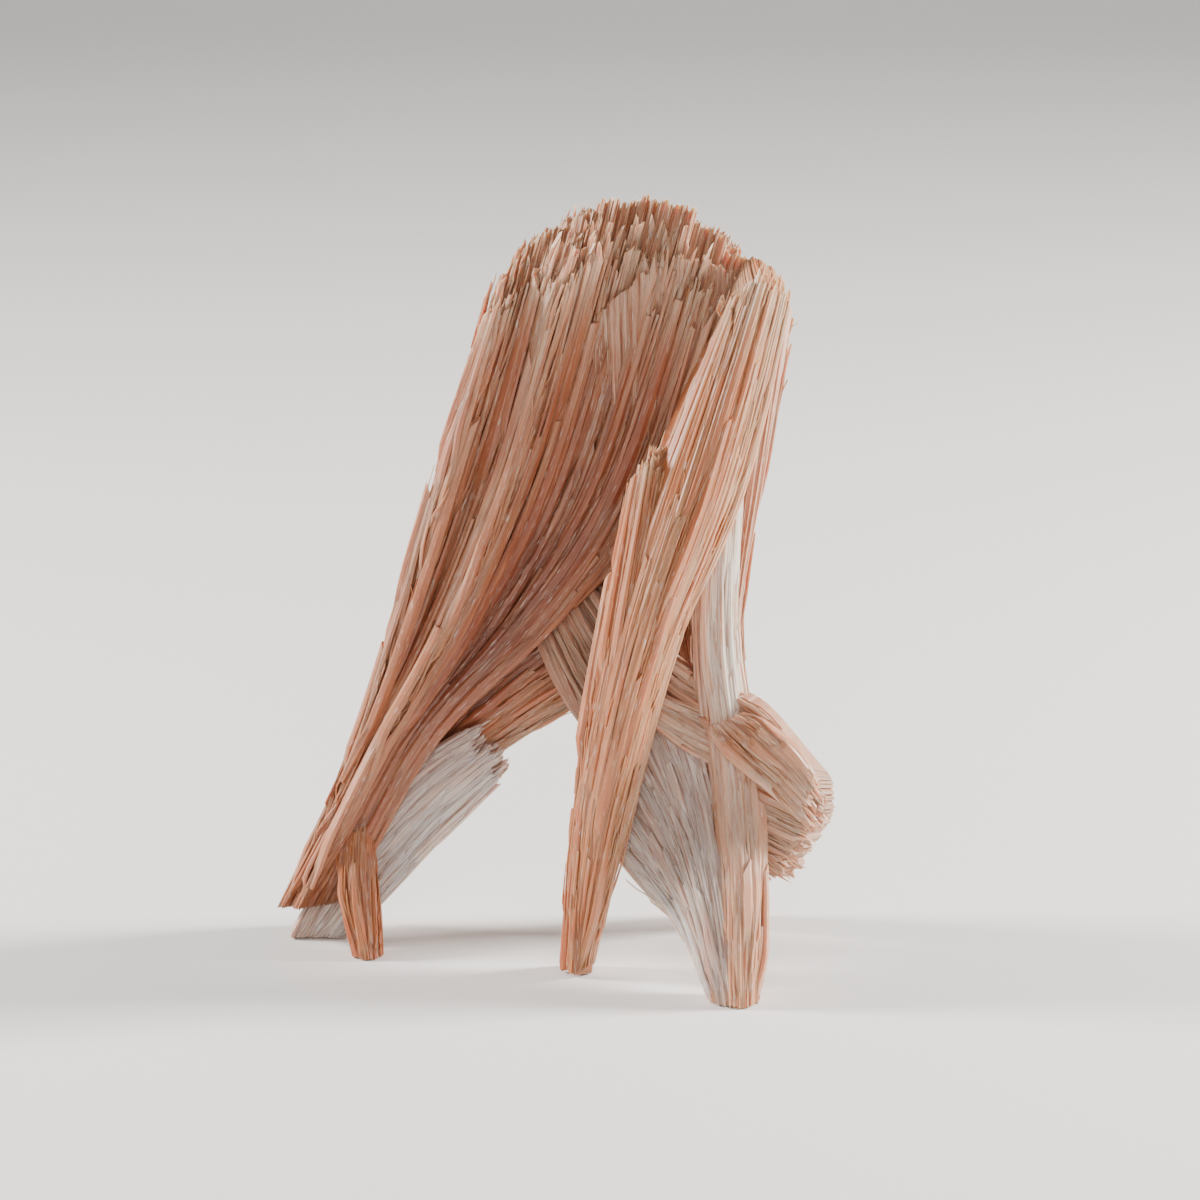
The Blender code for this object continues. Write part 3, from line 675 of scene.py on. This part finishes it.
crossing_sheaf = Sheaf(
    [[(1.2, 4.4, 19.8), (4.3, 1.6, 16.7), (7.2, -0.2, 14.7), (10.0, -1.8, 13.8), (13.1, -3.0, 10.4)],
     [(-0.4, 4.4, 18.7), (2.6, 1.4, 14.1), (5.7, -0.8, 11.6), (9.3, -2.4, 9.7), (13.2, -3.6, 8.0)],
     [(-1.8, 4.8, 17.4), (1.3, 2.2, 12.1), (4.6, 0.4, 9.2), (8.0, -1.2, 7.1), (11.4, -2.6, 5.0)]],
    (1.8, 2.4, 2.2), ragged=0.9, foot_break=0.4, tip_break=0.6, laths=9, step=0.18)


def crossing_sheaf_look(s, w, end):
    """Deepest with painted shade where it comes out from under the fan, pale and a little dusty at its broken
    tip.
    """
    pale = 0.35 + smooth(0.9, 1.0, w) * 0.4 + 0.2 * end
    # The deep share is painted shade, strongest where the sheaf comes out from under the main fan.
    deep = np.interp(w, (0, 0.15, 0.4, 0.55, 0.8), (0.8, 0.45, 0.3, 0.5, 0.1))
    return pale, deep, smooth(0.96, 1.0, w) * 0.4


grown_piece("crossing_sheaf", bundle(crossing_sheaf, 140, 56, 81, 60, (4, 12), 360, 240)
            + [broken_tips(crossing_sheaf, 120, 84)], crossing_sheaf_look, beige)


# The raised band on the crossing sheaf, between the front sheaf and the right column: a few beige laths that
# have grown together with the sheaf under them.
crossing_band = Sheaf(
    [[(3.4, -0.2, 15.4), (5.3, -0.9, 14.2), (7.1, -1.1, 13.4), (8.7, -1.2, 12.3)],
     [(3.2, -0.2, 14.1), (5.1, -1.3, 12.8), (6.6, -1.8, 11.7), (8.3, -1.8, 10.7)]],
    (1.4, 1.4, 1.0), ragged=0.2, foot_break=0.2, tip_break=0.2, laths=5)


def crossing_band_look(s, w, end):
    """Evenly pale, without dust."""
    return 0.45 + 0.2 * end, 0.15 + 0 * s, 0 * s


grown_piece("crossing_band", bundle(crossing_band, 50, 26, 91, 20, (2, 5), 90, 60), crossing_band_look, beige)


# The broad band in front of the right column: peach laths grown on the crossing sheaf, with a ragged start
# and a flat broken end on the right.
crossing_front = Sheaf(
    [[(9.0, -2.2, 13.7), (10.0, -2.9, 13.6), (10.9, -3.5, 13.0), (12.0, -3.9, 12.0), (13.1, -4.0, 10.3)],
     [(7.4, -2.1, 13.1), (8.4, -2.9, 11.9), (9.4, -3.5, 11.1), (10.9, -3.9, 9.9), (12.8, -4.0, 7.9)]],
    (1.0, 1.6, 1.4), ragged=0.8, foot_break=0.5, tip_break=0.3, laths=6, step=0.18)


def crossing_front_look(s, w, end):
    """Palest at its ragged start."""
    return smooth(0.3, 0.0, w) * 0.6 + 0.15 + 0.25 * end, 0.1 + 0 * s, 0 * s


grown_piece("crossing_front", bundle(crossing_front, 60, 30, 101, 26, (2, 6), 130, 90)
            + [broken_tips(crossing_front, 50, 104)], crossing_front_look, peach)


# The band behind the main fan: salmon laths grown against the fan's back. Below the fan it shows as a
# strip painted red-brown with shade under the fan, with a pale straight lower edge.
back_band = Sheaf(
    [[(-11.0, 5.2, 2.8), (-7.0, 4.8, 10.4), (-2.8, 4.6, 15.4), (0.8, 4.4, 18.6), (4.6, 4.0, 21.4)],
     [(-10.3, 6.0, 1.2), (-6.2, 5.8, 6.8), (-2.4, 5.4, 9.7), (1.1, 5.0, 12.0), (4.3, 4.4, 14.1)]],
    (1.4, 2.0, 2.0), ragged=0.8, foot_break=0.3, tip_break=0.3, laths=7, step=0.18)


def back_band_look(s, w, end):
    """Painted shade deep above, under the fan, and pale along the lower edge."""
    # The deep share above is painted shade under the main fan.
    return smooth(0.7, 1.0, s) * 0.8 + 0.2 * end, smooth(0.8, 0.2, s) * 0.9, 0 * s


grown_piece("back_band", bundle(back_band, 110, 50, 111, 50, (5, 14), 260, 160), back_band_look, salmon)


# The left foot fan: white laths of inesite that spread up to the right from the left foot, where they have
# grown together with the main fan. The foot ends in a brown broken face.
left_foot_fan = Sheaf(
    [[(-13.9, 4.2, -0.9), (-10.8, 4.0, 4.6), (-7.3, 4.2, 8.8), (-3.4, 4.6, 11.4)],
     [(-11.4, 4.2, -0.9), (-8.5, 4.0, 2.3), (-5.4, 4.0, 5.7), (-1.8, 4.4, 9.2)]],
    (2.2, 1.8, 1.2), ragged=1.4, foot_break=0.8, tip_break=0.3, laths=7, step=0.18)


def left_foot_fan_look(s, w, end):
    """White, most of all along the lower edge, and dusty at the foot."""
    return 0.5 + 0.5 * smooth(0.2, 0.9, s) + 0.2 * end, 0.15 * smooth(0.5, 0, s), smooth(0.06, 0.0, w)


grown_piece("left_foot_fan", bundle(left_foot_fan, 90, 44, 121, 50, (4, 11), 280, 220)
            + [broken_tips(left_foot_fan, 70, 124)], left_foot_fan_look, mauve)


# The left stub: a short stout crystal of terracotta inesite beside the left foot. It has grown into the main
# fan, and stands on a brown broken end.
left_stub = Sheaf(
    [[(-9.8, 0.9, -0.9), (-10.7, 2.4, 3.0), (-10.2, 3.8, 5.8)],
     [(-9.1, 0.2, -0.9), (-9.7, 1.8, 3.0), (-9.7, 3.2, 6.2)],
     [(-8.4, 0.9, -0.9), (-8.6, 2.4, 2.6), (-9.2, 3.8, 5.8)]],
    (1.3, 1.3, 1.3), ragged=0.1, foot_break=0.9, tip_break=0.2, laths=3, step=0.1)


def left_stub_look(s, w, end):
    """Evenly a little deep, and brown at the foot."""
    return 0.2 * end, 0.3 + 0 * s, smooth(0.2, 0.02, w)


grown_piece("left_stub", bundle(left_stub, 60, 30, 131, 12, (2, 5), 70, 40), left_stub_look, terracotta)


# The back sheaf: a broad bundle of pale beige laths with its own foot. It has grown against the main fan and
# the front sheaf, and closes the back of the cluster on the right.
back_sheaf = Sheaf(
    [[(8.0, 7.6, -0.9), (6.6, 7.4, 8.0), (4.2, 6.4, 16.0), (2.4, 5.6, 24.4), (1.8, 4.2, 32.4)],
     [(9.2, 8.2, -0.9), (8.5, 8.0, 8.0), (7.1, 7.4, 16.0), (6.7, 6.6, 25.0), (6.9, 5.0, 36.2)],
     [(10.3, 7.6, -0.9), (10.2, 7.2, 8.0), (9.4, 6.2, 16.0), (10.6, 5.0, 24.6), (11.9, 3.2, 33.4)]],
    (1.8, 4.2, 4.0), ragged=1.4, foot_break=0.4, tip_break=1.2, face=BACK, laths=9, step=0.24)


def back_sheaf_look(s, w, end):
    """Pale at the tips, with two hollows down its back deepened partly by painted shade."""
    pale = 0.3 + smooth(0.85, 0.98, w) * 0.5 + 0.2 * end
    # The deep share puts painted shade, together with the crystal's own deeper colour, in two hollows down
    # the back.
    deep = np.interp(s, (0, 0.2, 0.5, 0.7, 1), (0.4, 0.5, 0.1, 0.4, 0.2))
    return pale, deep, smooth(0.04, 0.0, w)


grown_piece("back_sheaf", bundle(back_sheaf, 180, 64, 141, 90, (8, 20), 520, 260)
            + [broken_tips(back_sheaf, 160, 144)], back_sheaf_look, beige)
